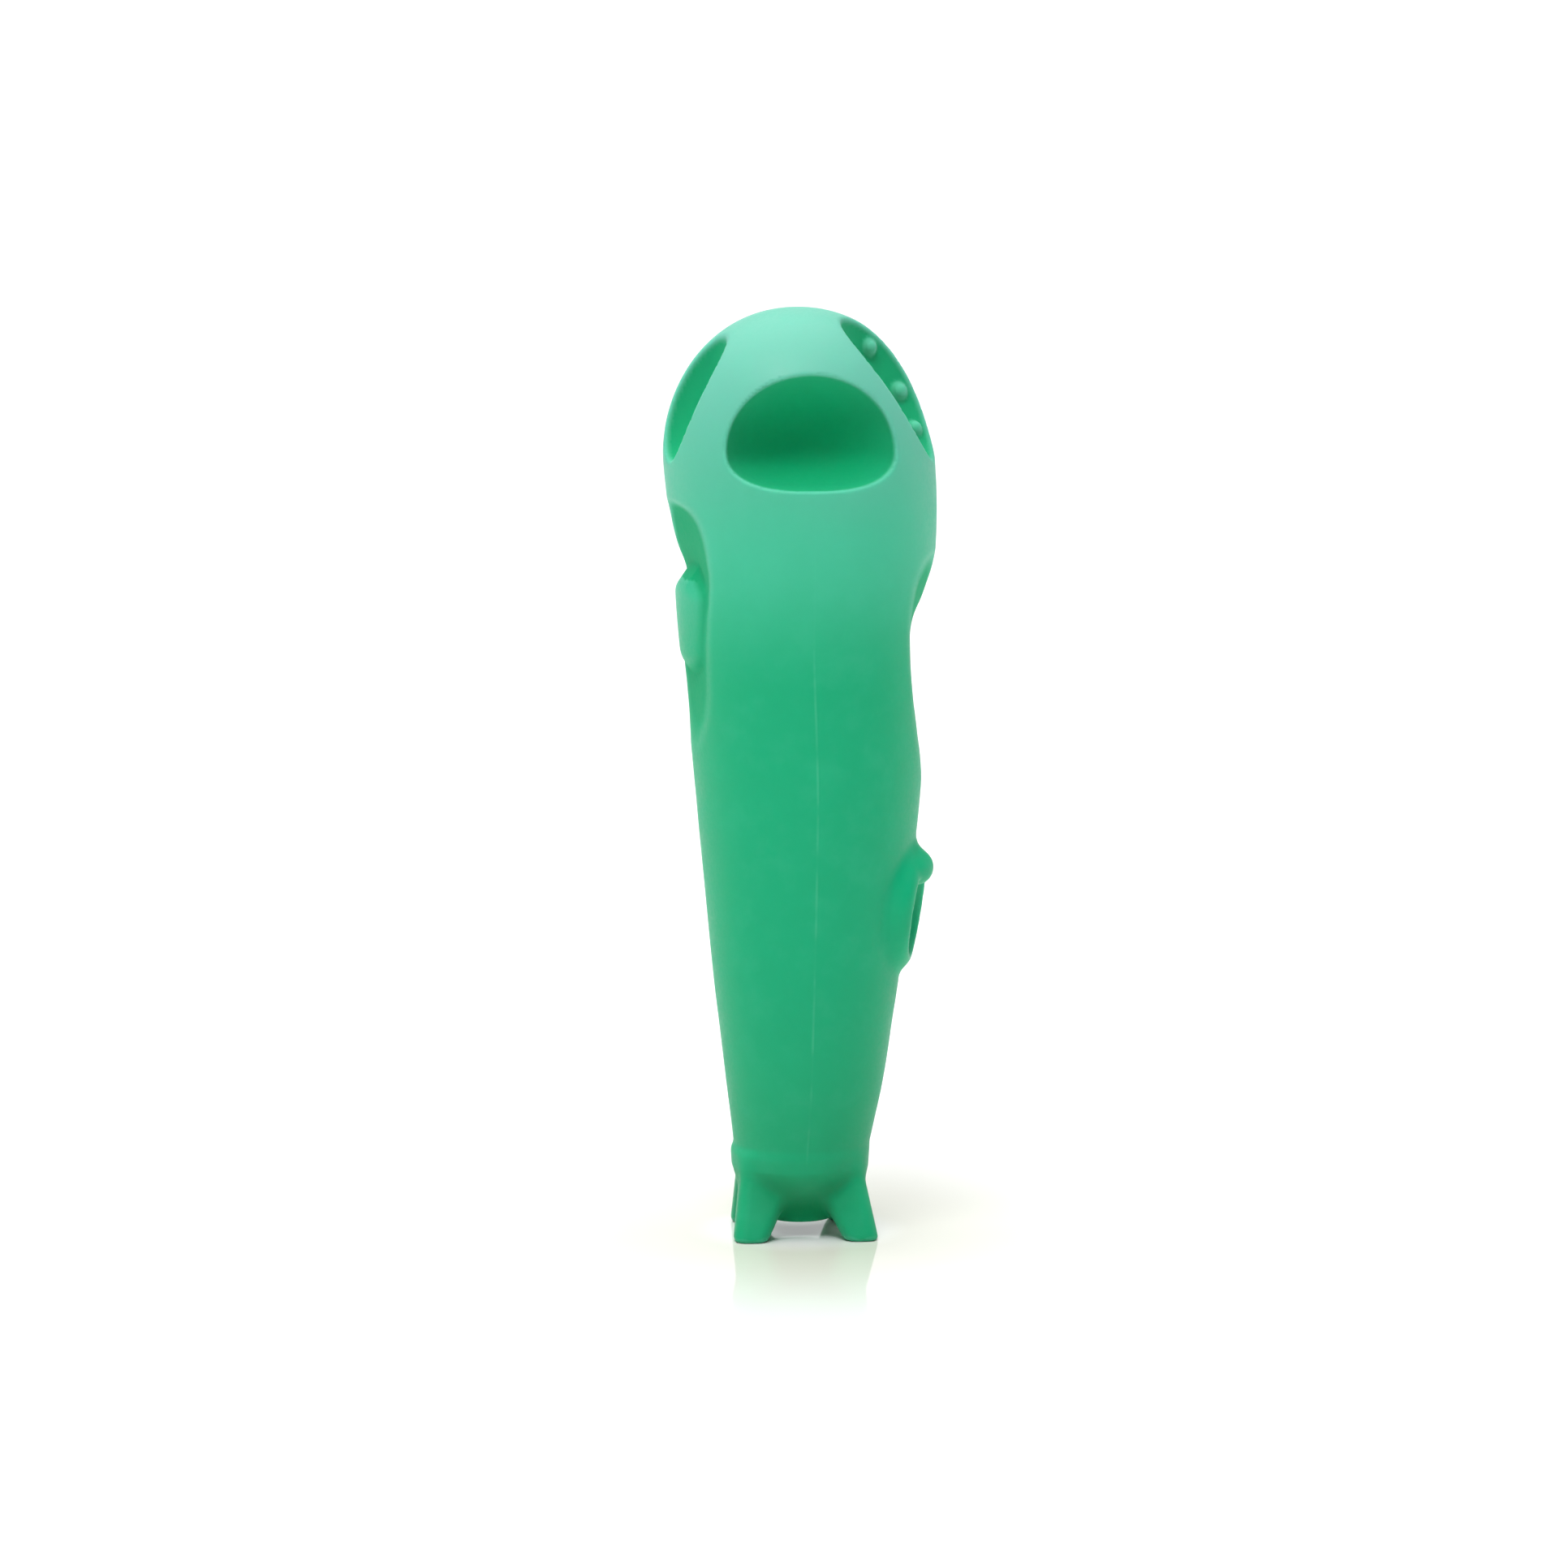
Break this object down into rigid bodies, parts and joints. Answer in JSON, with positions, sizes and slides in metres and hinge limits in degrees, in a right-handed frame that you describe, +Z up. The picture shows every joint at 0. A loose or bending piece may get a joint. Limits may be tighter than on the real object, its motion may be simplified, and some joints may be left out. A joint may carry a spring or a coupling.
{
  "type": "pipette filler bulb",
  "caption": "Free-standing one-hand silicone pipette filler: squeeze bulb with finger dents, waist pad, side vent ring and a bottom pipette socket between four feet.",
  "frame": {"origin": "on the pipette axis at bench level, midway between the four feet", "axes": "+Z up along the pipette axis, -Y out of the thumb dent at the front, +X toward the vent ring"},
  "size_m": [0.0464, 0.0462, 0.16],
  "materials": {
    "silicone": "satin moulded silicone",
    "clear_silicone": "milky silicone",
    "white_plastic": "moulded polypropylene",
    "black_rubber": "seal rubber",
    "ball_glass": "polished",
    "filter_membrane": "porous disc"
  },
  "bodies": {
    "body": {"silicone_body": "silicone", "core_tube": "white_plastic", "lower_centring_ring": "white_plastic", "upper_centring_ring": "white_plastic", "suction_valve_seat": "white_plastic", "suction_valve_tube": "clear_silicone", "chamber_adapter": "white_plastic", "exhaust_valve_body": "white_plastic", "exhaust_valve_cap": "white_plastic", "pipette_sleeve": "clear_silicone", "filter_cap": "white_plastic", "filter_gasket": "black_rubber", "filter_disc": "filter_membrane", "filter_housing": "white_plastic"},
    "thumb_wall": {"thumb_dent_wall": "silicone"},
    "left_wall": {"left_dent_wall": "silicone"},
    "right_wall": {"right_dent_wall": "silicone"},
    "suction_pad": {"suction_pad": "silicone"},
    "vent_button": {"vent_button": "silicone", "vent_stem": "white_plastic", "vent_seal_ring": "black_rubber"},
    "suction_ball": {"suction_check_ball": "ball_glass"},
    "exhaust_ball": {"exhaust_check_ball": "ball_glass"}
  },
  "joints": [
    {"name": "thumb_dent_press", "type": "slide", "parent": "body", "child": "thumb_wall", "axis": [0, 1, 0], "range_m": [0, 0.0035], "stiffness_N_per_m": 900},
    {"name": "left_dent_press", "type": "slide", "parent": "body", "child": "left_wall", "axis": [0.9431, 0.212, -0.256], "range_m": [0, 0.003], "stiffness_N_per_m": 900},
    {"name": "right_dent_press", "type": "slide", "parent": "body", "child": "right_wall", "axis": [-0.7912, 0.2851, -0.5411], "range_m": [0, 0.003], "stiffness_N_per_m": 900},
    {"name": "suction_pad_press", "type": "slide", "parent": "body", "child": "suction_pad", "axis": [1, 0, 0], "range_m": [0, 0.003], "stiffness_N_per_m": 1200},
    {"name": "vent_button_press", "type": "slide", "parent": "body", "child": "vent_button", "axis": [-0.9744, 0.225, 0], "range_m": [0, 0.0013], "stiffness_N_per_m": 1000},
    {"name": "suction_ball_lift", "type": "slide", "parent": "body", "child": "suction_ball", "axis": [0, 0, 1], "range_m": [0, 0.003]},
    {"name": "exhaust_ball_lift", "type": "slide", "parent": "body", "child": "exhaust_ball", "axis": [0, 1, 0], "range_m": [0, 0.0015]}
  ]
}
